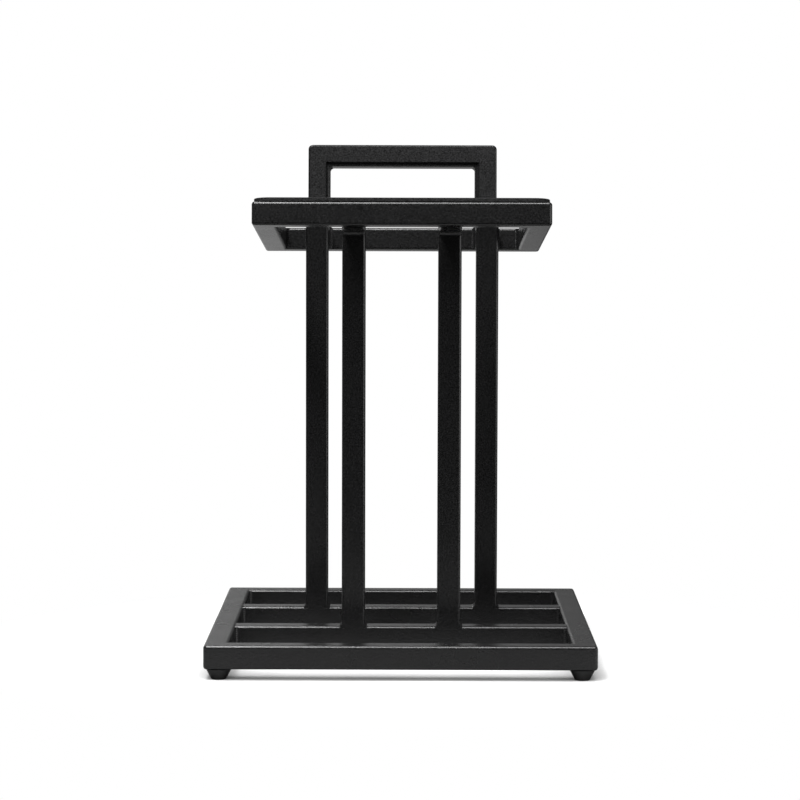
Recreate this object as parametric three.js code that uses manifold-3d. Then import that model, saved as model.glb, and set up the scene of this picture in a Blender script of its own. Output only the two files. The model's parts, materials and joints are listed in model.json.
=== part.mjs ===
// A welded square-tube stand for one studio loudspeaker: a rectangular base on four levelling feet, four
// uprights, a platform that tilts down to the rear, and a backstop loop that the speaker leans against.
// Millimetres. +X is right, +Y is back, +Z is up. The origin is on the floor, in the middle of the base.

import * as THREE from "three";
import { mergeVertices } from "three/addons/utils/BufferGeometryUtils.js";
import Module from "manifold-3d";

const wasm = await Module();
wasm.setup();

// ---- driving dimensions ----

// square tube, the same for every bar
const tubeSize = 20;
const tubeWall = 1.5;
const tubeCornerRadius = 2.5;
const weldGap = 0.3; // root gap between two welded bars
const groundCornerRadius = 3; // outer corners of the base and the platform, ground after welding

// base
const baseWidth = 325;
const baseDepth = 368;
const crossbarSpacing = 121; // between the centre lines of the two crossbars

// uprights, between the centre lines of each pair
const frontUprightSpacing = 82;
const rearUprightSpacing = 152;

// platform
const platformWidth = 251;
const platformDepth = 255;
const platformFrontHeight = 394; // front top edge above the floor
const platformSetback = 61; // front top edge behind the base's front face
const platformTilt = THREE.MathUtils.degToRad(6);

// backstop loop, measured square to the platform
const backstopHeight = 76;
const backstopCornerRadius = 4;

// pads; each thickness takes in the glue line
const padGlueGap = 0.3;
const platformPadThickness = 3.5;
const platformPadOuterMargin = 1.3;
const platformPadInnerMargin = 1;
const platformPadRearMargin = 2; // from the rear rail to the ends of the pad
const platformPadCornerRadius = 14;
const backstopPadThickness = 3;
const backstopPadOuterMargin = 1.5;
const backstopPadInnerMargin = 3.5;
const backstopPadFootMargin = 2; // from the rear rail's top to the ends of the pad
const backstopPadCornerRadius = 3;

// levelling feet
const footHeight = 9.1;
const footSeatGap = 0.3; // under the rail, with the foot screwed right in
const footTopRadius = 10.9;
const footBottomRadius = 6;
const footEdgeRadius = 0.8;
const footInset = 12.2; // centre of a foot from both outer faces of its corner
const footTravel = 8; // how far a foot screws out
const studRadius = 3;
const studDepthInFoot = 6;
const studChamfer = 0.8;
const studReserve = 2; // length left above the nut with the foot right out
const studGap = 0.3; // around a stud, in its nut and in its foot
const studHoleGap = 0.5; // around a stud, in the rail's wall
const nutSize = 10;
const nutThickness = 5;
const nutCornerRadius = 0.8;
const nutSeatGap = 0.3;

// facets of a quarter turn
const tubeFacets = 3;
const boreFacets = 1;
const cornerFacets = 5;
const roundFacets = 7;

// ---- worked out from the driving dimensions ----

const tubeHalf = tubeSize / 2;
const boreSize = tubeSize - 2 * tubeWall;
const smallestRadius = 0.2;
const boreRadius = Math.max(tubeCornerRadius - tubeWall, smallestRadius);
const cutOverrun = 1; // how far a cutter reaches past what it cuts
const quarterTurn = Math.PI / 2;
const squareMitre = quarterTurn / 2;

const railBottom = footHeight + footSeatGap;
const railTop = railBottom + tubeSize;
const railCentreHeight = railBottom + tubeHalf;
const platformFrontY = platformSetback - baseDepth / 2;
const rearRailFront = platformDepth - tubeSize; // along the platform, from its front face
const backstopWidth = rearUprightSpacing + tubeSize;

// ---- materials ----

const finishes = {
  powderCoat: { color: 0x26272a, roughness: 0.62, metalness: 0.3 },
  padRubber: { color: 0x2b2b2d, roughness: 0.95, metalness: 0 },
  footRubber: { color: 0x1d1d1e, roughness: 0.8, metalness: 0 },
  zincPlate: { color: 0xb9bcc0, roughness: 0.35, metalness: 0.9 },
};

function makeMesh(name, geometry, finish) {
  const mesh = new THREE.Mesh(geometry, new THREE.MeshStandardMaterial(finishes[finish]));
  mesh.name = name;
  return mesh;
}

// ---- outlines ----

function arcPoints(centreX, centreY, radius, from, sweep, facets) {
  return Array.from({ length: facets + 1 }, (_, i) => {
    const angle = from + (sweep * i) / facets;
    return new THREE.Vector2(centreX + radius * Math.cos(angle), centreY + radius * Math.sin(angle));
  });
}

// A square with round corners, centred on the origin.
function roundedSquare(size, radius, facets) {
  const reach = size / 2 - radius;
  return [
    ...arcPoints(reach, -reach, radius, -quarterTurn, quarterTurn, facets),
    ...arcPoints(reach, reach, radius, 0, quarterTurn, facets),
    ...arcPoints(-reach, reach, radius, quarterTurn, quarterTurn, facets),
    ...arcPoints(-reach, -reach, radius, 2 * quarterTurn, quarterTurn, facets),
  ];
}

function extrude(points, depth, hole) {
  const shape = new THREE.Shape(points);
  if (hole) {
    shape.holes.push(new THREE.Path(hole));
  }
  return new THREE.ExtrudeGeometry(shape, { depth, bevelEnabled: false });
}

// ---- cutting ----

function toSolid(geometry) {
  const bare = geometry.clone();
  bare.deleteAttribute("normal");
  bare.deleteAttribute("uv");
  const merged = mergeVertices(bare, 1e-4);
  return new wasm.Manifold(
    new wasm.Mesh({
      numProp: 3,
      vertProperties: new Float32Array(merged.attributes.position.array),
      triVerts: new Uint32Array(merged.index.array),
    }),
  );
}

function toGeometry(solid) {
  const mesh = solid.getMesh();
  const indexed = new THREE.BufferGeometry();
  indexed.setAttribute("position", new THREE.BufferAttribute(mesh.vertProperties, 3));
  indexed.setIndex(new THREE.BufferAttribute(mesh.triVerts, 1));
  const geometry = indexed.toNonIndexed();
  geometry.computeVertexNormals();
  return geometry;
}

function cutAway(geometry, cutters) {
  const start = toSolid(geometry);
  return toGeometry(cutters.reduce((solid, cutter) => solid.subtract(toSolid(cutter)), start));
}

// ---- tube ----

// How far a mitred end stands back along its bar, so that two of them keep the weld gap.
function mitreSetback(mitre) {
  return weldGap / 2 / Math.cos(mitre);
}

// A length of tube along X, centred, with its outer side facing -Y. The length is that of the centre line,
// between the two points where it meets its neighbours; a mitred end reaches past its point on the outer side.
function tubeGeometry(length, leftMitre, rightMitre) {
  const outline = roundedSquare(tubeSize, tubeCornerRadius, tubeFacets);
  const bore = roundedSquare(boreSize, boreRadius, boreFacets);
  const geometry = extrude(outline, length, bore);
  geometry.rotateX(quarterTurn).rotateZ(quarterTurn).translate(-length / 2, 0, 0);
  const position = geometry.attributes.position;
  for (let i = 0; i < position.count; i += 1) {
    const side = Math.sign(position.getX(i));
    const mitre = side < 0 ? leftMitre : rightMitre;
    const endX = length / 2 - mitreSetback(mitre) - Math.tan(mitre) * position.getY(i);
    position.setX(i, side * endX);
  }
  return geometry;
}

// What is ground off the sharp outer corner of a square mitre. The corner is at cornerX, on the outer side.
function grindCutter(cornerX, radius) {
  const side = Math.sign(cornerX);
  const outside = -tubeHalf - cutOverrun;
  const centreX = Math.abs(cornerX) - radius;
  const centreY = radius - tubeHalf;
  const points = [
    new THREE.Vector2(centreX, outside),
    new THREE.Vector2(centreX + radius + cutOverrun, outside),
    new THREE.Vector2(centreX + radius + cutOverrun, centreY),
    ...arcPoints(centreX, centreY, radius, 0, -quarterTurn, cornerFacets),
  ];
  points.forEach((point) => point.setX(side * point.x));
  return extrude(points, tubeSize + 2 * cutOverrun).translate(0, 0, -tubeHalf - cutOverrun);
}

// The hole for a stud, through the wall at -Z only.
function studHoleCutter(x, y) {
  const radius = studRadius + studHoleGap;
  const hole = new THREE.CylinderGeometry(radius, radius, tubeWall + 2 * cutOverrun, 4 * roundFacets);
  return hole.rotateX(quarterTurn).translate(x, y, tubeWall / 2 - tubeHalf);
}

// The bar that an end at -X stands on, with the weld gap around it. It runs along Z, or along Y.
function saddleCutter(barCentreX, alongY) {
  const outline = roundedSquare(tubeSize + 2 * weldGap, tubeCornerRadius + weldGap, tubeFacets);
  const bar = extrude(outline, tubeSize + 2 * cutOverrun).translate(0, 0, -tubeHalf - cutOverrun);
  if (alongY) {
    bar.rotateX(quarterTurn);
  }
  return bar.translate(barCentreX, 0, 0);
}

// Points a tube along one direction and its outer side along another.
function placeTube(mesh, centre, along, outer) {
  const inward = outer.clone().negate();
  const across = along.clone().cross(inward);
  mesh.quaternion.setFromRotationMatrix(new THREE.Matrix4().makeBasis(along, inward, across));
  mesh.position.copy(centre);
  return mesh;
}

const right = new THREE.Vector3(1, 0, 0);
const back = new THREE.Vector3(0, 1, 0);
const up = new THREE.Vector3(0, 0, 1);
const left = right.clone().negate();
const front = back.clone().negate();

// A butted tube between two flat faces that are the given distance apart, along X.
function buttedTube(name, distance) {
  return makeMesh(name, tubeGeometry(distance - weldGap, 0, 0), "powderCoat");
}

// Four mitred rails around a rectangle. With a hole inset, each end has its half of a stud's hole.
function railFrame(prefix, width, depth, centre, holeInset) {
  const sides = [
    { name: "front", span: width, reach: depth / 2 },
    { name: "right", span: depth, reach: width / 2 },
    { name: "rear", span: width, reach: depth / 2 },
    { name: "left", span: depth, reach: width / 2 },
  ];
  return sides.map(({ name, span, reach }, quarter) => {
    const cutters = [-1, 1].flatMap((side) => {
      const grinding = grindCutter((side * span) / 2, groundCornerRadius);
      if (holeInset === undefined) {
        return [grinding];
      }
      return [grinding, studHoleCutter(side * (span / 2 - holeInset), holeInset - tubeHalf)];
    });
    const tube = tubeGeometry(span - tubeSize, squareMitre, squareMitre);
    const rail = makeMesh(`${prefix}_${name}_rail`, cutAway(tube, cutters), "powderCoat");
    rail.rotation.z = quarter * quarterTurn;
    rail.position.set(0, tubeHalf - reach, 0).applyAxisAngle(up, rail.rotation.z).add(centre);
    return rail;
  });
}

// ---- base ----

const stand = new THREE.Group();

const baseCentre = new THREE.Vector3(0, 0, railCentreHeight);
stand.add(...railFrame("base", baseWidth, baseDepth, baseCentre, footInset));

const crossbars = [
  { name: "base_front_crossbar", y: -crossbarSpacing / 2 },
  { name: "base_rear_crossbar", y: crossbarSpacing / 2 },
];
for (const { name, y } of crossbars) {
  const crossbar = buttedTube(name, baseWidth - 2 * tubeSize);
  crossbar.position.set(0, y, railCentreHeight);
  stand.add(crossbar);
}

// ---- uprights and stubs ----

const platform = new THREE.Group();
platform.rotation.x = -platformTilt;
platform.position.set(0, platformFrontY, platformFrontHeight);
stand.add(platform);

// Where the centre line of an upright meets the platform's mid plane: its height above the floor, and how far
// along the platform it is.
function jointAt(uprightY) {
  const sine = Math.sin(platformTilt);
  const cosine = Math.cos(platformTilt);
  const along = (uprightY - platformFrontY + tubeHalf * sine) / cosine;
  return { along, height: platformFrontHeight - along * sine - tubeHalf * cosine };
}

// An upright stands on its crossbar, and its top is mitred to a stub that runs in the platform's plane to the
// nearer rail. The mitre halves the angle between the two.
function addUprights(place, crossbarY, spacing, mitre, railFace, stubSide) {
  const joint = jointAt(crossbarY);
  const foot = railTop - tubeCornerRadius;
  const height = joint.height - foot;
  const stubLength = Math.abs(railFace - joint.along) - weldGap / 2;
  const stubMiddle = joint.along + (stubSide * stubLength) / 2;
  const cornerSide = back.clone().multiplyScalar(-stubSide);
  for (const side of ["left", "right"]) {
    const x = side === "left" ? -spacing / 2 : spacing / 2;

    const crossbarX = tubeCornerRadius - tubeHalf - height / 2;
    const shaft = cutAway(tubeGeometry(height, 0, mitre), [saddleCutter(crossbarX, false)]);
    const upright = makeMesh(`${place}_${side}_upright`, shaft, "powderCoat");
    const uprightCentre = new THREE.Vector3(x, crossbarY, foot + height / 2);
    stand.add(placeTube(upright, uprightCentre, up, cornerSide));

    const stub = makeMesh(`${place}_${side}_stub`, tubeGeometry(stubLength, 0, mitre), "powderCoat");
    const stubCentre = new THREE.Vector3(x, stubMiddle, -tubeHalf);
    platform.add(placeTube(stub, stubCentre, cornerSide, up));
  }
}

const halfTilt = platformTilt / 2;
addUprights("front", -crossbarSpacing / 2, frontUprightSpacing, squareMitre - halfTilt, tubeSize, -1);
addUprights("rear", crossbarSpacing / 2, rearUprightSpacing, squareMitre + halfTilt, rearRailFront, 1);

// ---- platform ----

const platformCentre = new THREE.Vector3(0, platformDepth / 2, -tubeHalf);
platform.add(...railFrame("platform", platformWidth, platformDepth, platformCentre));

// ---- backstop ----

const loopMiddleY = platformDepth - tubeHalf;
const topBarHeight = backstopHeight - tubeHalf;

for (const [side, outer] of [["left", left], ["right", right]]) {
  const foot = -tubeCornerRadius;
  const height = topBarHeight - foot;
  const cutters = [
    saddleCutter(tubeCornerRadius - tubeHalf - height / 2, true),
    grindCutter(height / 2 + tubeHalf, backstopCornerRadius),
  ];
  const post = makeMesh(
    `backstop_${side}_post`,
    cutAway(tubeGeometry(height, 0, squareMitre), cutters),
    "powderCoat",
  );
  const centre = outer.clone().multiplyScalar(rearUprightSpacing / 2);
  centre.y = loopMiddleY;
  centre.z = foot + height / 2;
  platform.add(placeTube(post, centre, up, outer));
}

const topBarCutters = [-1, 1].map((side) => grindCutter((side * backstopWidth) / 2, backstopCornerRadius));
const topBar = makeMesh(
  "backstop_top_bar",
  cutAway(tubeGeometry(rearUprightSpacing, squareMitre, squareMitre), topBarCutters),
  "powderCoat",
);
platform.add(placeTube(topBar, new THREE.Vector3(0, loopMiddleY, topBarHeight), left, up));

// ---- pads ----

// An arch of flat sheet: two legs that end at y = 0, and a bar across the top with round outer corners.
function archGeometry(width, height, legWidth, barWidth, cornerRadius, thickness) {
  const halfWidth = width / 2;
  const cornerX = halfWidth - cornerRadius;
  const cornerY = height - cornerRadius;
  const innerX = halfWidth - legWidth;
  const points = [
    new THREE.Vector2(innerX, 0),
    new THREE.Vector2(halfWidth, 0),
    ...arcPoints(cornerX, cornerY, cornerRadius, 0, quarterTurn, cornerFacets),
    ...arcPoints(-cornerX, cornerY, cornerRadius, quarterTurn, quarterTurn, cornerFacets),
    new THREE.Vector2(-halfWidth, 0),
    new THREE.Vector2(-innerX, 0),
    new THREE.Vector2(-innerX, height - barWidth),
    new THREE.Vector2(innerX, height - barWidth),
  ];
  return extrude(points, thickness);
}

// The platform's pad covers the front rail and the side rails: its arch points forward.
const platformPadEnd = rearRailFront - platformPadRearMargin;
const platformPadStrip = tubeSize - platformPadOuterMargin - platformPadInnerMargin;
const platformPad = makeMesh(
  "platform_pad",
  archGeometry(
    platformWidth - 2 * platformPadOuterMargin,
    platformPadEnd - platformPadOuterMargin,
    platformPadStrip,
    platformPadStrip,
    platformPadCornerRadius,
    platformPadThickness - padGlueGap,
  ),
  "padRubber",
);
platformPad.rotation.z = 2 * quarterTurn;
platformPad.position.set(0, platformPadEnd, padGlueGap);
platform.add(platformPad);

// The backstop's pad covers the front of the loop.
const backstopPadStrip = tubeSize - backstopPadOuterMargin - backstopPadInnerMargin;
const backstopPad = makeMesh(
  "backstop_pad",
  archGeometry(
    backstopWidth - 2 * backstopPadOuterMargin,
    backstopHeight - backstopPadOuterMargin - backstopPadFootMargin,
    backstopPadStrip,
    backstopPadStrip,
    backstopPadCornerRadius,
    backstopPadThickness - padGlueGap,
  ),
  "padRubber",
);
backstopPad.rotation.x = quarterTurn;
backstopPad.position.set(0, rearRailFront - padGlueGap, backstopPadFootMargin);
platform.add(backstopPad);

// ---- levelling feet ----

// Turns a profile of [radius, height] points around Z. It runs up the outside and ends on the axis.
function turnedGeometry(profile) {
  const points = profile.map(([radius, height]) => new THREE.Vector2(radius, height));
  return new THREE.LatheGeometry(points, 4 * roundFacets).rotateX(quarterTurn);
}

const studBottom = footHeight - studDepthInFoot;
const nutBottom = railBottom + tubeWall + nutSeatGap;
const studTop = nutBottom + nutThickness + footTravel + studReserve;

function footGeometry() {
  const boreWall = studRadius + studGap;
  return turnedGeometry([
    [0, 0],
    [footBottomRadius - footEdgeRadius, 0],
    [footBottomRadius, footEdgeRadius],
    [footTopRadius, footHeight - footEdgeRadius],
    [footTopRadius - footEdgeRadius, footHeight],
    [boreWall, footHeight],
    [boreWall, studBottom - studGap],
    [0, studBottom - studGap],
  ]);
}

function studGeometry() {
  return turnedGeometry([
    [0, studBottom],
    [studRadius - studChamfer, studBottom],
    [studRadius, studBottom + studChamfer],
    [studRadius, studTop - studChamfer],
    [studRadius - studChamfer, studTop],
    [0, studTop],
  ]);
}

function nutGeometry() {
  const outline = roundedSquare(nutSize, nutCornerRadius, boreFacets);
  const bore = arcPoints(0, 0, studRadius + studGap, 0, 4 * quarterTurn, 4 * roundFacets).slice(1);
  return extrude(outline, nutThickness, bore).translate(0, 0, nutBottom);
}

for (const [place, sideY] of [["front", -1], ["rear", 1]]) {
  for (const [side, sideX] of [["left", -1], ["right", 1]]) {
    const x = sideX * (baseWidth / 2 - footInset);
    const y = sideY * (baseDepth / 2 - footInset);
    const pieces = [
      makeMesh(`foot_${place}_${side}`, footGeometry(), "footRubber"),
      makeMesh(`foot_stud_${place}_${side}`, studGeometry(), "zincPlate"),
      makeMesh(`foot_nut_${place}_${side}`, nutGeometry(), "zincPlate"),
    ];
    for (const piece of pieces) {
      piece.position.set(x, y, 0);
      stand.add(piece);
    }
  }
}

export default stand;
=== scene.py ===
"""The looks of a welded square-tube stand for one studio loudspeaker.

Metres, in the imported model's frame: +X is right, +Y is back, +Z is up, and the origin is on the floor in
the middle of the base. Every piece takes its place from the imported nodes. The platform, its stubs and the
backstop are modelled level, in axes that the platform's tilt then turns into place.
"""
import json
import math

import bmesh
import bpy
from mathutils import Matrix, Vector


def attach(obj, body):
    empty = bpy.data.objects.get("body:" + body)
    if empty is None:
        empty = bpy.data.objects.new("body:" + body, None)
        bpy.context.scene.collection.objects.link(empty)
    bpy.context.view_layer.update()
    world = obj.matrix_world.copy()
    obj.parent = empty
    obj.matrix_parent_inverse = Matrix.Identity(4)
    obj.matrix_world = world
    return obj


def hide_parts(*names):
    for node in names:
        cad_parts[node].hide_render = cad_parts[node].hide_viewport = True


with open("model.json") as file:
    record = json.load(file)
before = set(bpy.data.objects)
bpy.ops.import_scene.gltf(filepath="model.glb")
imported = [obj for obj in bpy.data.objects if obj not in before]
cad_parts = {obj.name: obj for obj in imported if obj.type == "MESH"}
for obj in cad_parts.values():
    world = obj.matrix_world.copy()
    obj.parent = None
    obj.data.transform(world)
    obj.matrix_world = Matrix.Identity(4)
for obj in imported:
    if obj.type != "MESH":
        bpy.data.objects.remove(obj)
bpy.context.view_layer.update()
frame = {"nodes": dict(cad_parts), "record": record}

# ---- sizes ----

TUBE = 0.020
WALL = 0.0015
EDGE_RADIUS = 0.0025
GROUND_RADIUS = 0.003
LOOP_RADIUS = 0.004
OVERRUN = 0.010
SNAP = 0.00002
EDGE_STEPS = 5
CORNER_STEPS = 6
SMOOTH_ANGLE = math.radians(32)

WELD_LEG = 0.0026
FLUSH_WELD_LEG = 0.0018
ANGLE_WELD_LEG = 0.0035
LOOP_WELD_LEG = 0.002
WELD_SINK = 0.0014
WELD_END_GAP = 0.001
WELD_FLUSH_GAP = 0.00005
RIPPLE_PITCH = 0.0018
RIPPLE_HEIGHT = 0.00010
RIPPLE_CUTS = 43
WELD_PROFILE = 0.12
WELD_REACH = 0.98
WELD_STEPS = 6

PLATFORM_PAD_INNER_MARGIN = 0.001
PLATFORM_PAD_CORNER_RADIUS = 0.014
BACKSTOP_PAD_INNER_MARGIN = 0.0035
BACKSTOP_PAD_CORNER_RADIUS = 0.003
PAD_EDGE_RADIUS = 0.0009
PAD_EDGE_STEPS = 3

FOOT_SIDES = 64
FOOT_TAPER = 0.55
FOOT_EDGE_RADIUS = 0.0008
FOOT_BORE_RADIUS = 0.0033
FOOT_BORE_DEPTH = 0.0063
THREAD_PITCH = 0.001
THREAD_DEPTH = 0.0005
THREAD_RINGS = 8
THREAD_LEAD = 0.0008

GRAIN_DETAIL = 2.0
GRAIN_ROUGHNESS = 0.6
GRAIN_DARK_END = 0.32
GRAIN_LIGHT_END = 0.68
MOTTLE_DETAIL = 3.0
MOTTLE_ROUGHNESS = 0.5
MOTTLE_LOW_END = 0.3
MOTTLE_HIGH_END = 0.7
EDGE_SAMPLES = 4
EDGE_BEND = 0.93
EDGE_BREAKUP_DETAIL = 2.0
EDGE_BREAKUP_ROUGHNESS = 0.5

FLOOR_SIDES = 96
FLOOR_RADIUS = 0.42
FLOOR_COLOUR = (0.26, 0.26, 0.26)
FLOOR_ROUGHNESS = 0.8
FLOOR_SPECULAR = 0.1
FLOOR_LIFT = 1.25
FLOOR_LIFT_CONTRAST = 2.8
FLOOR_LIFT_REACH = 0.05
FLOOR_LIFT_SAMPLES = 16
FLOOR_LIFT_WAY = Vector((-0.1, -1.1, 1.0)).normalized()
FLOOR_NEAR = 0.25
FLOOR_FAR = 0.4
ROOM_WAY = Vector((0.0, 0.85, -0.5))
ROOM_DARK_END = 0.3
ROOM_PALE_END = 0.95
ROOM_DARK = 0.055
ROOM_PALE = 0.44
ROOM_SIDE_REACH = 0.15
ROOM_RIGHT_SHARE = 0.3
ROOM_LEFT_SHARE = 1.3
KEY_PLACE = Vector((-0.58, -1.25, 2.1))
KEY_WIDTH = 0.4
KEY_LENGTH = 2.2
KEY_RADIANCE = 32.0
RIM_PLACE = Vector((-0.62, 2.5, 2.1))
RIM_WIDTH = 0.4
RIM_LENGTH = 1.6
RIM_RADIANCE = 8.0
SIDE_PLACE = Vector((1.8, -1.1, 0.4))
SIDE_WIDTH = 1.0
SIDE_LENGTH = 2.4
SIDE_RADIANCE = 1.8
STRIP_PLACE = Vector((0.15, -0.6, 2.1))
STRIP_WIDTH = 1.2
STRIP_LENGTH = 0.8
STRIP_RADIANCE = 12.0

WHITE = (1, 1, 1, 1)
RIGHT = Vector((1, 0, 0))
BACK = Vector((0, 1, 0))
UP = Vector((0, 0, 1))

mounts = {mount["name"]: mount for mount in frame["record"]["mounts"]}
platform_normal = Vector(mounts["platform_face"]["axis"])
TILT = math.atan2(platform_normal.y, platform_normal.z)
LEVEL = Matrix.Identity(4)
TILTED = Matrix.Rotation(-TILT, 4, "X")


def span(node, turn=LEVEL):
    """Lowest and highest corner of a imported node, measured in turned axes."""
    to_level = turn.inverted()
    points = [to_level @ vertex.co for vertex in frame["nodes"][node].data.vertices]
    low = Vector(min(point[axis] for point in points) for axis in range(3))
    high = Vector(max(point[axis] for point in points) for axis in range(3))
    return low, high


# ---- finishes ----

def add_node(tree, kind, inputs=(), **settings):
    """A shader node with its settings and its inputs, each a value or the output that feeds it."""
    node = tree.nodes.new(kind)
    for name, value in settings.items():
        setattr(node, name, value)
    for socket, value in dict(inputs).items():
        if isinstance(value, bpy.types.NodeSocket):
            tree.links.new(value, node.inputs[socket])
        else:
            node.inputs[socket].default_value = value
    return node


def combine(tree, operation, first, second):
    """One number from two."""
    return add_node(tree, "ShaderNodeMath", {0: first, 1: second}, operation=operation).outputs["Value"]


def remap(tree, value, start, end, low=0.0, high=1.0, blend="LINEAR"):
    """A number that goes from low to high while a value goes from its start to its end."""
    ends = {"Value": value, "From Min": start, "From Max": end, "To Min": low, "To Max": high}
    return add_node(tree, "ShaderNodeMapRange", ends, interpolation_type=blend).outputs["Result"]


def noise(tree, place, scale, detail, roughness):
    values = {"Vector": place, "Scale": scale, "Detail": detail, "Roughness": roughness}
    return add_node(tree, "ShaderNodeTexNoise", values).outputs["Fac"]


def blend_colours(tree, mask, low, high):
    values = {"Factor": mask, "A": low, "B": high}
    return add_node(tree, "ShaderNodeMix", values, data_type="RGBA").outputs["Result"]


def opaque(colour):
    return (*colour, 1.0)


def make_group(name, inputs, outputs):
    """An empty shader group whose inputs and outputs are numbers. Each use of it sets all the inputs."""
    tree = bpy.data.node_groups.new(name, "ShaderNodeTree")
    for label in inputs:
        tree.interface.new_socket(label, in_out="INPUT", socket_type="NodeSocketFloat")
    for label in outputs:
        tree.interface.new_socket(label, in_out="OUTPUT", socket_type="NodeSocketFloat")
    return tree, tree.nodes.new("NodeGroupInput").outputs, tree.nodes.new("NodeGroupOutput").inputs


def grain_group():
    """Fine grain over a slow mottle: a height for bump, and two masks from 0 to 1."""
    tree, given, out = make_group(
        "grain", ["Grain per metre", "Mottle per metre"], ["Height", "Grain", "Mottle"]
    )
    place = add_node(tree, "ShaderNodeTexCoord").outputs["Object"]
    fine = noise(tree, place, given["Grain per metre"], GRAIN_DETAIL, GRAIN_ROUGHNESS)
    slow = noise(tree, place, given["Mottle per metre"], MOTTLE_DETAIL, MOTTLE_ROUGHNESS)
    grain = remap(tree, fine, GRAIN_DARK_END, GRAIN_LIGHT_END)
    mottle = remap(tree, slow, MOTTLE_LOW_END, MOTTLE_HIGH_END)
    tree.links.new(grain, out["Height"])
    tree.links.new(grain, out["Grain"])
    tree.links.new(mottle, out["Mottle"])
    return tree


def edge_group():
    """A mask from 0 to 1 on outer edges, broken up by noise. The colour is lightened there: partly a thinner
    coat, partly a painted highlight along the rounded edges.
    """
    tree, given, out = make_group("edge_wear_and_highlight", ["Width", "Breakup per metre"], ["Edge"])
    flat = add_node(tree, "ShaderNodeNewGeometry").outputs["Normal"]
    rounded = add_node(tree, "ShaderNodeBevel", {"Radius": given["Width"]}, samples=EDGE_SAMPLES)
    turned = add_node(
        tree, "ShaderNodeVectorMath", {0: rounded.outputs["Normal"], 1: flat}, operation="DOT_PRODUCT"
    )
    bent = remap(tree, turned.outputs["Value"], 1.0, EDGE_BEND)
    place = add_node(tree, "ShaderNodeTexCoord").outputs["Object"]
    breakup = noise(
        tree, place, given["Breakup per metre"], EDGE_BREAKUP_DETAIL, EDGE_BREAKUP_ROUGHNESS
    )
    tree.links.new(combine(tree, "MULTIPLY", bent, breakup), out["Edge"])
    return tree


GRAIN = grain_group()
EDGE = edge_group()


def start_material(name):
    material = bpy.data.materials.new(name)
    material.use_nodes = True
    return material, material.node_tree, material.node_tree.nodes["Principled BSDF"]


def use_group(tree, group, values):
    node = add_node(tree, "ShaderNodeGroup", node_tree=group)
    for socket, value in values.items():
        node.inputs[socket].default_value = value
    return node.outputs


def grained_material(name, look):
    """A solid finish whose colour, roughness and bump follow the grain and the mottle. Its colour is lighter
    on the edges: partly a thinner coat, partly a painted highlight.
    """
    material, tree, surface = start_material(name)
    grain = use_group(
        tree,
        GRAIN,
        {"Grain per metre": look["grain"], "Mottle per metre": look["mottle"]},
    )
    edge = use_group(tree, EDGE, {"Width": look["edge_width"], "Breakup per metre": look["edge_breakup"]})
    body = blend_colours(tree, grain["Grain"], opaque(look["dark"]), opaque(look["light"]))
    # Colour lighter on the edges: partly a thinner coat, partly a painted highlight.
    worn_and_highlit = blend_colours(tree, edge["Edge"], body, opaque(look["edge_wear_and_highlight_colour"]))
    rough = remap(tree, grain["Mottle"], 0.0, 1.0, *look["rough"])
    bump = add_node(
        tree,
        "ShaderNodeBump",
        {"Height": grain["Height"], "Strength": look["bump"], "Distance": look["bump_height"]},
    )
    tree.links.new(worn_and_highlit, surface.inputs["Base Color"])
    tree.links.new(rough, surface.inputs["Roughness"])
    tree.links.new(bump.outputs["Normal"], surface.inputs["Normal"])
    surface.inputs["Metallic"].default_value = look["metallic"]
    surface.inputs["Specular IOR Level"].default_value = look["specular"]
    return material


POWDER_COAT = grained_material(
    "black_powder_coat",
    {
        "dark": (0.001, 0.001, 0.001),
        "light": (0.014, 0.014, 0.0143),
        "edge_wear_and_highlight_colour": (0.02, 0.02, 0.021),
        "edge_width": 0.0010,
        "edge_breakup": 900.0,
        "grain": 750.0,
        "mottle": 30.0,
        "rough": (0.24, 0.28),
        "bump": 0.4,
        "bump_height": 0.00012,
        "metallic": 0.0,
        "specular": 0.5,
    },
)
PAD_RUBBER = grained_material(
    "grained_pad_rubber",
    {
        "dark": (0.001, 0.001, 0.001),
        "light": (0.026, 0.026, 0.0265),
        "edge_wear_and_highlight_colour": (0.02, 0.02, 0.02),
        "edge_width": 0.0008,
        "edge_breakup": 500.0,
        "grain": 900.0,
        "mottle": 70.0,
        "rough": (0.75, 0.9),
        "bump": 0.5,
        "bump_height": 0.0003,
        "metallic": 0.0,
        "specular": 0.12,
    },
)
FOOT_RUBBER = grained_material(
    "moulded_foot_rubber",
    {
        "dark": (0.006, 0.006, 0.006),
        "light": (0.012, 0.012, 0.012),
        "edge_wear_and_highlight_colour": (0.025, 0.025, 0.025),
        "edge_width": 0.0008,
        "edge_breakup": 600.0,
        "grain": 1800.0,
        "mottle": 120.0,
        "rough": (0.45, 0.6),
        "bump": 0.2,
        "bump_height": 0.0001,
        "metallic": 0.0,
        "specular": 0.5,
    },
)
ZINC_PLATE = grained_material(
    "bright_zinc_plate",
    {
        "dark": (0.42, 0.43, 0.45),
        "light": (0.60, 0.61, 0.63),
        "edge_wear_and_highlight_colour": (0.75, 0.75, 0.76),
        "edge_width": 0.0004,
        "edge_breakup": 1500.0,
        "grain": 2500.0,
        "mottle": 250.0,
        "rough": (0.22, 0.38),
        "bump": 0.15,
        "bump_height": 0.00005,
        "metallic": 1.0,
        "specular": 0.5,
    },
)


# ---- modelling ----

def start_box(name, low, high):
    """A box between two corners, in edit mode."""
    bpy.ops.object.select_all(action="DESELECT")
    bpy.ops.mesh.primitive_cube_add(size=1, location=(low + high) / 2)
    piece = bpy.context.object
    piece.name = piece.data.name = name
    piece.scale = high - low
    bpy.ops.object.transform_apply(location=True, rotation=True, scale=True)
    bpy.ops.object.mode_set(mode="EDIT")
    return piece


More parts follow.
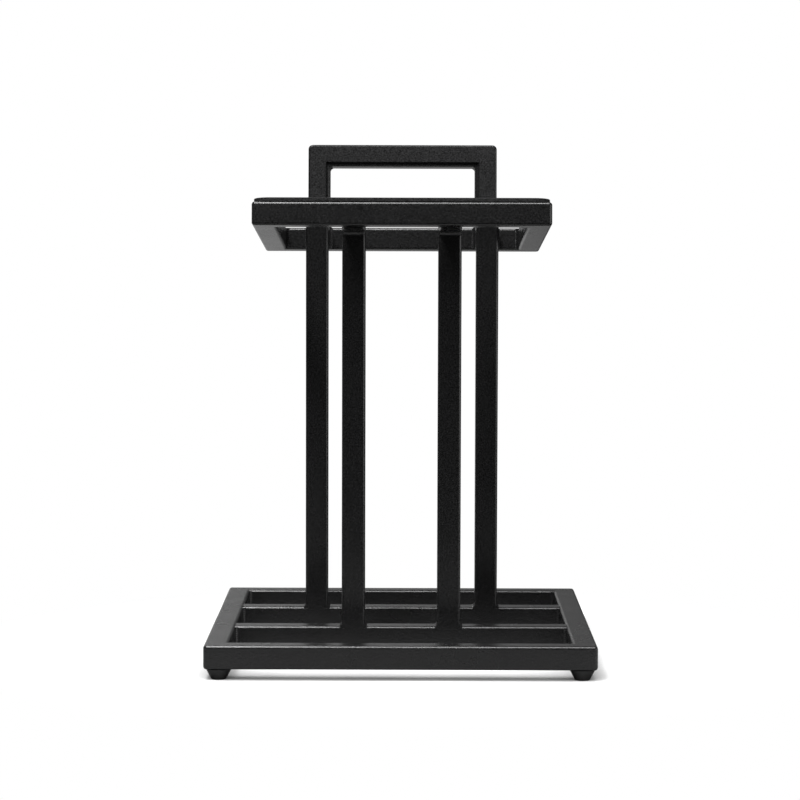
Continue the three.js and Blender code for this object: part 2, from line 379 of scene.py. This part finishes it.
def pick(piece, kind, test):
    """Selects the edges or faces, in edit mode, that pass a test."""
    bpy.ops.mesh.select_mode(type=kind)
    bpy.ops.mesh.select_all(action="DESELECT")
    mesh = bmesh.from_edit_mesh(piece.data)
    for element in mesh.edges if kind == "EDGE" else mesh.faces:
        if test(element):
            element.select_set(True)
    mesh.select_flush_mode()
    bmesh.update_edit_mesh(piece.data)


def lies_at(element, axis, value):
    """True if every corner of an edge or face has this value on an axis."""
    return all(abs(vertex.co[axis] - value) < SNAP for vertex in element.verts)


def lies_on(element, point, normal):
    """True if every corner of an edge or face is on a plane."""
    return all(abs((vertex.co - point).dot(normal)) < SNAP for vertex in element.verts)


def cut_off(point, normal):
    """Cuts the piece in edit mode along a plane and drops what is on the normal's side."""
    bpy.ops.mesh.select_all(action="SELECT")
    bpy.ops.mesh.bisect(plane_co=point, plane_no=normal, use_fill=True, clear_outer=True)


def finish_piece(piece, turn=LEVEL):
    """Leaves edit mode with outward faces and evenly shaded flats, and turns the piece into place."""
    bpy.ops.mesh.select_all(action="SELECT")
    bpy.ops.mesh.normals_make_consistent(inside=False)
    bpy.ops.object.mode_set(mode="OBJECT")
    piece.data.transform(turn)
    bpy.ops.object.shade_smooth_by_angle(angle=SMOOTH_ANGLE)
    even = piece.modifiers.new("even_flats", "WEIGHTED_NORMAL")
    even.keep_sharp = True
    bpy.ops.object.modifier_apply(modifier=even.name)
    return piece


def dress(piece, material, body="frame", stands_for=()):
    """Gives a piece its finish and its body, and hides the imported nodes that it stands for."""
    piece.data.materials.clear()
    piece.data.materials.append(material)
    if stands_for:
        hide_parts(*stands_for)
    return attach(piece, body)


# ---- tube ----

def tube(node, low, high, flat_axis, cuts, ground=(), turn=LEVEL):
    """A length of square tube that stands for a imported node. Its box gets ground corners, each (axis, value,
    axis, value, radius), and a rounded rim on both faces across the flat axis. It is cut off at each
    (point, normal) plane and bored from one cut end to the other."""
    piece = start_box(f"{node}_tube", low, high)
    for axis_a, value_a, axis_b, value_b, radius in ground:
        pick(piece, "EDGE", lambda edge: lies_at(edge, axis_a, value_a) and lies_at(edge, axis_b, value_b))
        bpy.ops.mesh.bevel(offset=radius, segments=CORNER_STEPS, affect="EDGES")
    rims = (low[flat_axis], high[flat_axis])
    pick(piece, "EDGE", lambda edge: any(lies_at(edge, flat_axis, rim) for rim in rims))
    bpy.ops.mesh.bevel(offset=EDGE_RADIUS, segments=EDGE_STEPS, affect="EDGES")
    for point, normal in cuts:
        cut_off(point, normal)
    pick(piece, "FACE", lambda face: any(lies_on(face, point, normal) for point, normal in cuts))
    bpy.ops.mesh.inset(thickness=WALL, use_individual=True)
    bpy.ops.mesh.bridge_edge_loops()
    finish_piece(piece, turn)
    return dress(piece, POWDER_COAT, stands_for=[node])


def rail_frame(prefix, turn=LEVEL):
    """Four rails around a rectangle, mitred, with ground corners."""
    spans = [span(f"{prefix}_{side}_rail", turn) for side in ("front", "right", "rear", "left")]
    low = Vector(min(corner[axis] for corner, _ in spans) for axis in range(3))
    high = Vector(max(corner[axis] for _, corner in spans) for axis in range(3))
    sides = {
        "front": (Vector((0, -1, 0)), RIGHT, low, Vector((high.x, low.y + TUBE, high.z))),
        "right": (RIGHT, BACK, Vector((high.x - TUBE, low.y, low.z)), high),
        "rear": (BACK, -RIGHT, Vector((low.x, high.y - TUBE, low.z)), high),
        "left": (-RIGHT, -BACK, low, Vector((low.x + TUBE, high.y, high.z))),
    }
    middle = (low + high) / 2
    for side, (outer, along, side_low, side_high) in sides.items():
        cuts = []
        ground = []
        for way in (along, -along):
            corner = Vector(
                high[axis] if (outer + way)[axis] > 0 else low[axis] for axis in range(2)
            ).to_3d()
            corner.z = middle.z
            cuts.append((corner, (way - outer).normalized()))
            ground.append((0, corner.x, 1, corner.y, GROUND_RADIUS))
        tube(f"{prefix}_{side}_rail", side_low, side_high, 2, cuts, ground, turn)
    return low, high


base_low, base_high = rail_frame("base")
platform_low, platform_high = rail_frame("platform", TILTED)

for node in ("base_front_crossbar", "base_rear_crossbar"):
    low, high = span(node)
    low.x = base_low.x + TUBE
    high.x = base_high.x - TUBE
    ends = [(high.copy(), RIGHT), (low.copy(), -RIGHT)]
    tube(node, low - OVERRUN * RIGHT, high + OVERRUN * RIGHT, 2, ends)


# ---- uprights and stubs ----

def upright_and_stub(place, side, stub_way):
    """An upright with its foot over the crossbar's round edges, and the stub that it is mitred to. The stub
    runs to the nearer platform rail: forward if stub_way is -1, and back if it is 1."""
    low, high = span(f"{place}_{side}_upright")
    low.z = base_high.z - EDGE_RADIUS
    platform_middle = (platform_low.z + platform_high.z) / 2
    joint = (low + high) / 2
    joint.z = (platform_middle - joint.y * math.sin(TILT)) / math.cos(TILT)
    stub_direction = TILTED @ (stub_way * BACK)
    past_upright = (stub_direction + UP).normalized()
    upright_cuts = [(joint, past_upright), (low.copy(), -UP)]
    high.z = joint.z + TUBE
    tube(f"{place}_{side}_upright", low - OVERRUN * UP, high, 1, upright_cuts)

    to_level = TILTED.inverted()
    stub_low, stub_high = span(f"{place}_{side}_stub", TILTED)
    rail_face = platform_high.y - TUBE if stub_way > 0 else platform_low.y + TUBE
    stub_low.z = platform_low.z
    stub_high.z = platform_high.z
    level_joint = to_level @ joint
    rail_end = Vector((joint.x, rail_face, platform_middle))
    if stub_way > 0:
        stub_low.y = level_joint.y - TUBE
        stub_high.y = rail_face + OVERRUN
    else:
        stub_low.y = rail_face - OVERRUN
        stub_high.y = level_joint.y + TUBE
    stub_cuts = [(level_joint, -(to_level @ past_upright)), (rail_end, stub_way * BACK)]
    tube(f"{place}_{side}_stub", stub_low, stub_high, 0, stub_cuts, turn=TILTED)


STUB_WAYS = {"front": -1, "rear": 1}
for place, stub_way in STUB_WAYS.items():
    for side in ("left", "right"):
        upright_and_stub(place, side, stub_way)

# ---- backstop ----

loop_low, _ = span("backstop_left_post", TILTED)
_, loop_high = span("backstop_right_post", TILTED)
loop_low.z = platform_high.z
loop_high.z = span("backstop_top_bar", TILTED)[1].z


def post(side, way):
    """One post of the backstop: its foot goes over the rear rail's round edges, and its top is mitred."""
    low = loop_low.copy()
    high = loop_high.copy()
    outer_x = loop_high.x if way > 0 else loop_low.x
    low.x, high.x = sorted((outer_x, outer_x - way * TUBE))
    foot = Vector((outer_x, low.y, loop_low.z - EDGE_RADIUS))
    low.z = foot.z - OVERRUN
    top = Vector((outer_x, low.y, high.z))
    cuts = [(top, (UP - way * RIGHT).normalized()), (foot, -UP)]
    ground = [(0, outer_x, 2, high.z, LOOP_RADIUS)]
    tube(f"backstop_{side}_post", low, high, 1, cuts, ground, TILTED)


def top_bar():
    """The backstop's top bar, mitred at both ends."""
    low = loop_low.copy()
    low.z = loop_high.z - TUBE
    cuts = []
    ground = []
    for x, way in ((loop_high.x, 1), (loop_low.x, -1)):
        cuts.append((Vector((x, low.y, loop_high.z)), (way * RIGHT - UP).normalized()))
        ground.append((0, x, 2, loop_high.z, LOOP_RADIUS))
    tube("backstop_top_bar", low, loop_high, 1, cuts, ground, TILTED)


post("left", -1)
post("right", 1)
top_bar()

# ---- welds ----

def weld_bead(name, length, leg):
    """A rippled fillet in the corner of +X and +Y, centred along Z, sunk a little into both walls."""
    low = Vector((-WELD_SINK, -WELD_SINK, -length / 2))
    bead = start_box(name, low, Vector((leg, leg, length / 2)))
    pick(bead, "EDGE", lambda edge: lies_at(edge, 0, leg) and lies_at(edge, 1, leg))
    bpy.ops.mesh.bevel(offset=leg * WELD_REACH, segments=WELD_STEPS, profile=WELD_PROFILE, affect="EDGES")
    pick(bead, "EDGE", lambda edge: abs(edge.verts[0].co.z - edge.verts[1].co.z) > length / 2)
    bpy.ops.mesh.subdivide(number_cuts=RIPPLE_CUTS)
    bpy.ops.object.mode_set(mode="OBJECT")
    for vertex in bead.data.vertices:
        if min(vertex.co.x, vertex.co.y) > -WELD_SINK / 2:
            swell = RIPPLE_HEIGHT * math.sin(math.tau * vertex.co.z / RIPPLE_PITCH)
            vertex.co.x += swell
            vertex.co.y += swell
    bpy.ops.object.mode_set(mode="EDIT")
    return finish_piece(bead)


def lay_weld(bead, name, middle, open_a, open_b, turn=LEVEL):
    """A copy of a bead in a corner line, open towards two directions, with its middle at a point."""
    piece = bead.copy()
    piece.data = bead.data.copy()
    piece.name = piece.data.name = f"weld_{name}"
    bpy.context.scene.collection.objects.link(piece)
    along = open_a.cross(open_b).normalized()
    place = Matrix((open_a, open_b, along)).transposed().to_4x4()
    place.translation = middle
    piece.data.transform(turn @ place)
    return dress(piece, POWDER_COAT)


def lay_frame_welds(prefix, low, high, turn=LEVEL):
    """The upright beads in the four inner corners of a rail frame."""
    middle_z = (low.z + high.z) / 2
    for end, y, open_y in (("front", low.y + TUBE, BACK), ("rear", high.y - TUBE, -BACK)):
        for side, x, open_x in (("left", low.x + TUBE, RIGHT), ("right", high.x - TUBE, -RIGHT)):
            middle = Vector((x, y, middle_z))
            lay_weld(corner_bead, f"{prefix}_{end}_{side}", middle, open_x, open_y, turn)


def lay_crossbar_welds(node):
    """The upright beads where a crossbar meets the side rails."""
    low, high = span(node)
    middle_z = (low.z + high.z) / 2
    for end, y, open_y in (("front", low.y, -BACK), ("rear", high.y, BACK)):
        for side, x, open_x in (("left", base_low.x + TUBE, RIGHT), ("right", base_high.x - TUBE, -RIGHT)):
            lay_weld(corner_bead, f"{node}_{side}_{end}", Vector((x, y, middle_z)), open_x, open_y)


def lay_upright_welds(place, side, stub_way):
    """The beads at an upright's foot, in the angle under its stub, and where the stub meets its rail."""
    low, high = span(f"{place}_{side}_upright")
    centre = (low + high) / 2
    rail_face = platform_high.y - TUBE if stub_way > 0 else platform_low.y + TUBE
    stub_centre = Vector((centre.x, rail_face, (platform_low.z + platform_high.z) / 2))
    for edge, way in (("left", -1), ("right", 1)):
        sideways = way * RIGHT
        edge_shift = sideways * TUBE / 2
        foot = Vector((centre.x, centre.y, base_high.z)) + edge_shift
        lay_weld(flush_bead, f"{place}_{side}_upright_foot_{edge}", foot, sideways, UP)
        rail_corner = stub_centre + edge_shift
        lay_weld(corner_bead, f"{place}_{side}_stub_{edge}", rail_corner, sideways, -stub_way * BACK, TILTED)
    angle_y = high.y if stub_way > 0 else low.y
    angle_z = (platform_low.z - angle_y * math.sin(TILT)) / math.cos(TILT)
    stub_direction = TILTED @ (stub_way * BACK)
    angle = Vector((centre.x, angle_y, angle_z))
    lay_weld(angle_bead, f"{place}_{side}_under_stub", angle, stub_direction, -UP)


def lay_backstop_welds(side, way):
    """The beads on both sides of a post's foot, and in the loop's upper corner."""
    outer_x = loop_high.x if way > 0 else loop_low.x
    inner_x = outer_x - way * TUBE
    middle_y = (loop_low.y + loop_high.y) / 2
    outer_foot = Vector((outer_x, middle_y, platform_high.z))
    inner_foot = Vector((inner_x, middle_y, platform_high.z))
    corner = Vector((inner_x, middle_y, loop_high.z - TUBE))
    lay_weld(flush_bead, f"backstop_{side}_foot_outer", outer_foot, way * RIGHT, UP, TILTED)
    lay_weld(flush_bead, f"backstop_{side}_foot_inner", inner_foot, -way * RIGHT, UP, TILTED)
    lay_weld(loop_bead, f"backstop_{side}_corner", corner, -way * RIGHT, -UP, TILTED)


corner_bead = weld_bead("corner_bead", TUBE - 2 * WELD_END_GAP, WELD_LEG)
flush_bead = weld_bead("flush_bead", TUBE - 2 * WELD_FLUSH_GAP, FLUSH_WELD_LEG)
angle_bead = weld_bead("angle_bead", TUBE - 2 * WELD_END_GAP, ANGLE_WELD_LEG)
loop_bead = weld_bead("loop_bead", TUBE - 2 * WELD_FLUSH_GAP, LOOP_WELD_LEG)

lay_frame_welds("base", base_low, base_high)
lay_frame_welds("platform", platform_low, platform_high, TILTED)
lay_crossbar_welds("base_front_crossbar")
lay_crossbar_welds("base_rear_crossbar")
for place, stub_way in STUB_WAYS.items():
    for side in ("left", "right"):
        lay_upright_welds(place, side, stub_way)
lay_backstop_welds("left", -1)
lay_backstop_welds("right", 1)

for bead in (corner_bead, flush_bead, angle_bead, loop_bead):
    bpy.data.objects.remove(bead)

# ---- pads ----

def arch_pad(node, low, high, strip, leg_axis, leg_way, face, corner_radius):
    """A flat pad in the shape of an arch: a bar across, and two legs along an axis. Its visible face is at
    face, an (axis, value) pair, and has a soft rim."""
    bar_low = low.copy()
    bar_high = high.copy()
    if leg_way > 0:
        bar_high[leg_axis] = low[leg_axis] + strip
        root = bar_high[leg_axis]
        outer = low[leg_axis]
        reach = high[leg_axis] - root
    else:
        bar_low[leg_axis] = high[leg_axis] - strip
        root = bar_low[leg_axis]
        outer = high[leg_axis]
        reach = root - low[leg_axis]
    pad = start_box(f"{node}_sheet", bar_low, bar_high)
    for x in (low.x + strip, high.x - strip):
        bpy.ops.mesh.select_all(action="SELECT")
        bpy.ops.mesh.bisect(plane_co=Vector((x, 0, 0)), plane_no=RIGHT)
    leg_start = high.x - strip
    pick(
        pad,
        "FACE",
        lambda side: lies_at(side, leg_axis, root) and abs(side.calc_center_median().x) > leg_start,
    )
    move = Vector((0, 0, 0))
    move[leg_axis] = leg_way * reach
    bpy.ops.mesh.extrude_region_move(TRANSFORM_OT_translate={"value": move})
    for x in (low.x, high.x):
        pick(pad, "EDGE", lambda edge: lies_at(edge, 0, x) and lies_at(edge, leg_axis, outer))
        bpy.ops.mesh.bevel(offset=corner_radius, segments=2 * CORNER_STEPS, affect="EDGES")
    pick(pad, "EDGE", lambda edge: lies_at(edge, *face) and edge.calc_face_angle(0) > SMOOTH_ANGLE)
    bpy.ops.mesh.bevel(offset=PAD_EDGE_RADIUS, segments=PAD_EDGE_STEPS, affect="EDGES")
    finish_piece(pad, TILTED)
    return dress(pad, PAD_RUBBER, stands_for=[node])


pad_low, pad_high = span("platform_pad", TILTED)
pad_strip = platform_low.x + TUBE - PLATFORM_PAD_INNER_MARGIN - pad_low.x
arch_pad("platform_pad", pad_low, pad_high, pad_strip, 1, 1, (2, pad_high.z), PLATFORM_PAD_CORNER_RADIUS)

pad_low, pad_high = span("backstop_pad", TILTED)
pad_strip = loop_low.x + TUBE - BACKSTOP_PAD_INNER_MARGIN - pad_low.x
arch_pad("backstop_pad", pad_low, pad_high, pad_strip, 2, -1, (1, pad_low.y), BACKSTOP_PAD_CORNER_RADIUS)

# ---- feet ----

def start_round(name, low, high):
    """An upright cylinder in the box between two corners, in edit mode."""
    bpy.ops.object.select_all(action="DESELECT")
    size = high - low
    bpy.ops.mesh.primitive_cylinder_add(
        vertices=FOOT_SIDES, radius=size.x / 2, depth=size.z, location=(low + high) / 2
    )
    piece = bpy.context.object
    piece.name = piece.data.name = name
    bpy.ops.object.transform_apply(location=True, rotation=True, scale=True)
    bpy.ops.object.mode_set(mode="EDIT")
    return piece


def foot(corner):
    """A moulded cone with soft rims, and a bore in its top for the stud."""
    node = f"foot_{corner}"
    low, high = span(node)
    piece = start_round(f"{node}_cone", low, high)
    pick(piece, "FACE", lambda face: lies_at(face, 2, low.z))
    bpy.ops.transform.resize(value=(FOOT_TAPER, FOOT_TAPER, 1))
    pick(piece, "EDGE", lambda edge: lies_at(edge, 2, low.z) or lies_at(edge, 2, high.z))
    bpy.ops.mesh.bevel(offset=FOOT_EDGE_RADIUS, segments=PAD_EDGE_STEPS, affect="EDGES")
    pick(piece, "FACE", lambda face: lies_at(face, 2, high.z))
    rim = (high.x - low.x) / 2 - FOOT_EDGE_RADIUS - FOOT_BORE_RADIUS
    bpy.ops.mesh.inset(thickness=rim)
    bpy.ops.mesh.extrude_region_move(TRANSFORM_OT_translate={"value": (0, 0, -FOOT_BORE_DEPTH)})
    finish_piece(piece)
    return dress(piece, FOOT_RUBBER, f"{corner}_foot", [node])


def stud(corner):
    """A stud with a rolled thread: its surface is drawn in and out along a helix."""
    node = f"foot_stud_{corner}"
    low, high = span(node)
    piece = start_round(f"{node}_thread", low, high)
    length = high.z - low.z
    pick(piece, "EDGE", lambda edge: abs(edge.verts[0].co.z - edge.verts[1].co.z) > length / 2)
    bpy.ops.mesh.subdivide(number_cuts=round(length / THREAD_PITCH * THREAD_RINGS) - 1)
    bpy.ops.object.mode_set(mode="OBJECT")
    axis = (low + high) / 2
    for vertex in piece.data.vertices:
        arm = vertex.co - axis
        turn = math.atan2(arm.y, arm.x) / math.tau
        from_end = min(vertex.co.z - low.z, high.z - vertex.co.z)
        flank = abs(2 * ((vertex.co.z / THREAD_PITCH - turn) % 1) - 1)
        depth = max(THREAD_DEPTH * flank, THREAD_LEAD - from_end)
        share = 1 - depth / (high.x - axis.x)
        vertex.co.x = axis.x + arm.x * share
        vertex.co.y = axis.y + arm.y * share
    bpy.ops.object.mode_set(mode="EDIT")
    finish_piece(piece)
    return dress(piece, ZINC_PLATE, f"{corner}_foot", [node])


for place in ("front", "rear"):
    for side in ("left", "right"):
        foot(f"{place}_{side}")
        stud(f"{place}_{side}")
        nut = frame["nodes"][f"foot_nut_{place}_{side}"]
        nut.data.materials.clear()
        nut.data.materials.append(ZINC_PLATE)

# ---- camera ----

IMAGE_SIDE = 800
FOCAL_PIXELS = 2997.5
SENSOR = 36.0
CAMERA_PLACE = Vector((0.00489, -2.62758, 0.40061))
CAMERA_PITCH = math.radians(3.94)
CAMERA_YAW = math.radians(-0.139)
CAMERA_ROLL = math.radians(0.161)

camera_data = bpy.data.cameras.new("camera")
camera_data.sensor_width = SENSOR
camera_data.lens = FOCAL_PIXELS * SENSOR / IMAGE_SIDE
camera = bpy.data.objects.new("camera", camera_data)
bpy.context.scene.collection.objects.link(camera)
bpy.context.scene.camera = camera
turned = (
    Matrix.Rotation(-CAMERA_YAW, 4, "Z")
    @ Matrix.Rotation(math.pi / 2 - CAMERA_PITCH, 4, "X")
    @ Matrix.Rotation(CAMERA_ROLL, 4, "Z")
)
camera.matrix_world = Matrix.Translation(CAMERA_PLACE) @ turned

# ---- floor and light ----

def any_ray(tree, *kinds):
    """1 for a ray of any of these kinds, and 0 for the others."""
    rays = add_node(tree, "ShaderNodeLightPath").outputs
    mask = rays[kinds[0]]
    for kind in kinds[1:]:
        mask = combine(tree, "MAXIMUM", mask, rays[kind])
    return mask


def glow(tree, strength):
    return add_node(tree, "ShaderNodeEmission", {"Color": WHITE, "Strength": strength}).outputs["Emission"]


def mix_shaders(tree, mask, first, second):
    return add_node(tree, "ShaderNodeMixShader", {0: mask, 1: first, 2: second}).outputs["Shader"]


def floor_lift_with_painted_shadow(tree):
    """How much the camera sees the floor lifted to white: fully in the open, and hardly under the stand, which
    paints a shadow there.
    """
    way = add_node(tree, "ShaderNodeCombineXYZ", dict(zip("XYZ", FLOOR_LIFT_WAY)))
    # Painted shadow: occlusion looked for towards the front and up darkens the camera's view of the floor
    # under and just behind the stand.
    openness = add_node(
        tree,
        "ShaderNodeAmbientOcclusion",
        {"Distance": FLOOR_LIFT_REACH, "Normal": way.outputs["Vector"]},
        samples=FLOOR_LIFT_SAMPLES,
    )
    contrast = combine(tree, "POWER", openness.outputs["AO"], FLOOR_LIFT_CONTRAST)
    shown = combine(tree, "MULTIPLY", contrast, any_ray(tree, "Is Camera Ray"))
    return combine(tree, "MULTIPLY", shown, FLOOR_LIFT)


def make_floor():
    """A pale floor that keeps the lamps' shadows near the stand and adds a painted shadow under it, is white
    further out and is clear from below.
    """
    bpy.ops.object.select_all(action="DESELECT")
    bpy.ops.mesh.primitive_circle_add(vertices=FLOOR_SIDES, radius=FLOOR_RADIUS, fill_type="NGON")
    floor = bpy.context.object
    floor.name = "floor"
    material, tree, surface = start_material("pale_floor")
    surface.inputs["Base Color"].default_value = opaque(FLOOR_COLOUR)
    surface.inputs["Roughness"].default_value = FLOOR_ROUGHNESS
    surface.inputs["Specular IOR Level"].default_value = FLOOR_SPECULAR
    plain = surface.outputs["BSDF"]
    lifted = add_node(tree, "ShaderNodeAddShader", {0: plain, 1: glow(tree, floor_lift_with_painted_shadow(tree))})
    place = add_node(tree, "ShaderNodeTexCoord").outputs["Object"]
    away = add_node(tree, "ShaderNodeVectorMath", {0: place}, operation="LENGTH").outputs["Value"]
    far = remap(tree, away, FLOOR_NEAR, FLOOR_FAR, blend="SMOOTHSTEP")
    seen = mix_shaders(tree, far, lifted.outputs["Shader"], glow(tree, 1.0))
    backdrop = any_ray(tree, "Is Camera Ray", "Is Glossy Ray", "Is Transmission Ray")
    top = mix_shaders(tree, backdrop, plain, seen)
    underside = add_node(tree, "ShaderNodeNewGeometry").outputs["Backfacing"]
    clear = add_node(tree, "ShaderNodeBsdfTransparent").outputs["BSDF"]
    both_sides = mix_shaders(tree, underside, top, clear)
    tree.links.new(both_sides, tree.nodes["Material Output"].inputs["Surface"])
    floor.data.materials.append(material)


def make_surroundings():
    """White where the camera or a clear piece sees it. For the stand it is a room, dark in front and pale
    behind, and paler on the left."""
    world = bpy.data.worlds.new("studio")
    bpy.context.scene.world = world
    world.use_nodes = True
    tree = world.node_tree
    direction = add_node(tree, "ShaderNodeTexCoord").outputs["Generated"]
    towards = add_node(tree, "ShaderNodeVectorMath", {0: direction, 1: ROOM_WAY}, operation="DOT_PRODUCT")
    room = remap(
        tree,
        towards.outputs["Value"],
        ROOM_DARK_END,
        ROOM_PALE_END,
        ROOM_DARK,
        ROOM_PALE,
        blend="SMOOTHSTEP",
    )
    sideways = add_node(tree, "ShaderNodeSeparateXYZ", {"Vector": direction})
    share = remap(
        tree,
        sideways.outputs["X"],
        ROOM_SIDE_REACH,
        -ROOM_SIDE_REACH,
        ROOM_RIGHT_SHARE,
        ROOM_LEFT_SHARE,
        blend="SMOOTHSTEP",
    )
    shared = combine(tree, "MULTIPLY", room, share)
    seen = any_ray(tree, "Is Camera Ray", "Is Transmission Ray")
    strength = add_node(tree, "ShaderNodeMix", {"Factor": seen, "A": shared, "B": 1.0})
    background = tree.nodes["Background"]
    background.inputs["Color"].default_value = WHITE
    tree.links.new(strength.outputs["Result"], background.inputs["Strength"])


def softbox(name, place, width, length, radiance):
    """A lamp as long along Y as its length, turned about Y to face the stand. Its strength is given as
    the brightness of its face."""
    light = bpy.data.lights.new(name, "AREA")
    light.shape = "RECTANGLE"
    light.size = width
    light.size_y = length
    light.energy = radiance * math.pi * width * length
    lamp = bpy.data.objects.new(name, light)
    lamp.visible_camera = False
    bpy.context.scene.collection.objects.link(lamp)
    lean = math.atan2(place.x, place.z)
    lamp.matrix_world = Matrix.Translation(place) @ Matrix.Rotation(lean, 4, "Y")


make_floor()
make_surroundings()
softbox("key", KEY_PLACE, KEY_WIDTH, KEY_LENGTH, KEY_RADIANCE)
softbox("rim", RIM_PLACE, RIM_WIDTH, RIM_LENGTH, RIM_RADIANCE)
softbox("side", SIDE_PLACE, SIDE_WIDTH, SIDE_LENGTH, SIDE_RADIANCE)
softbox("strip", STRIP_PLACE, STRIP_WIDTH, STRIP_LENGTH, STRIP_RADIANCE)

bpy.context.scene.view_settings.view_transform = "Standard"
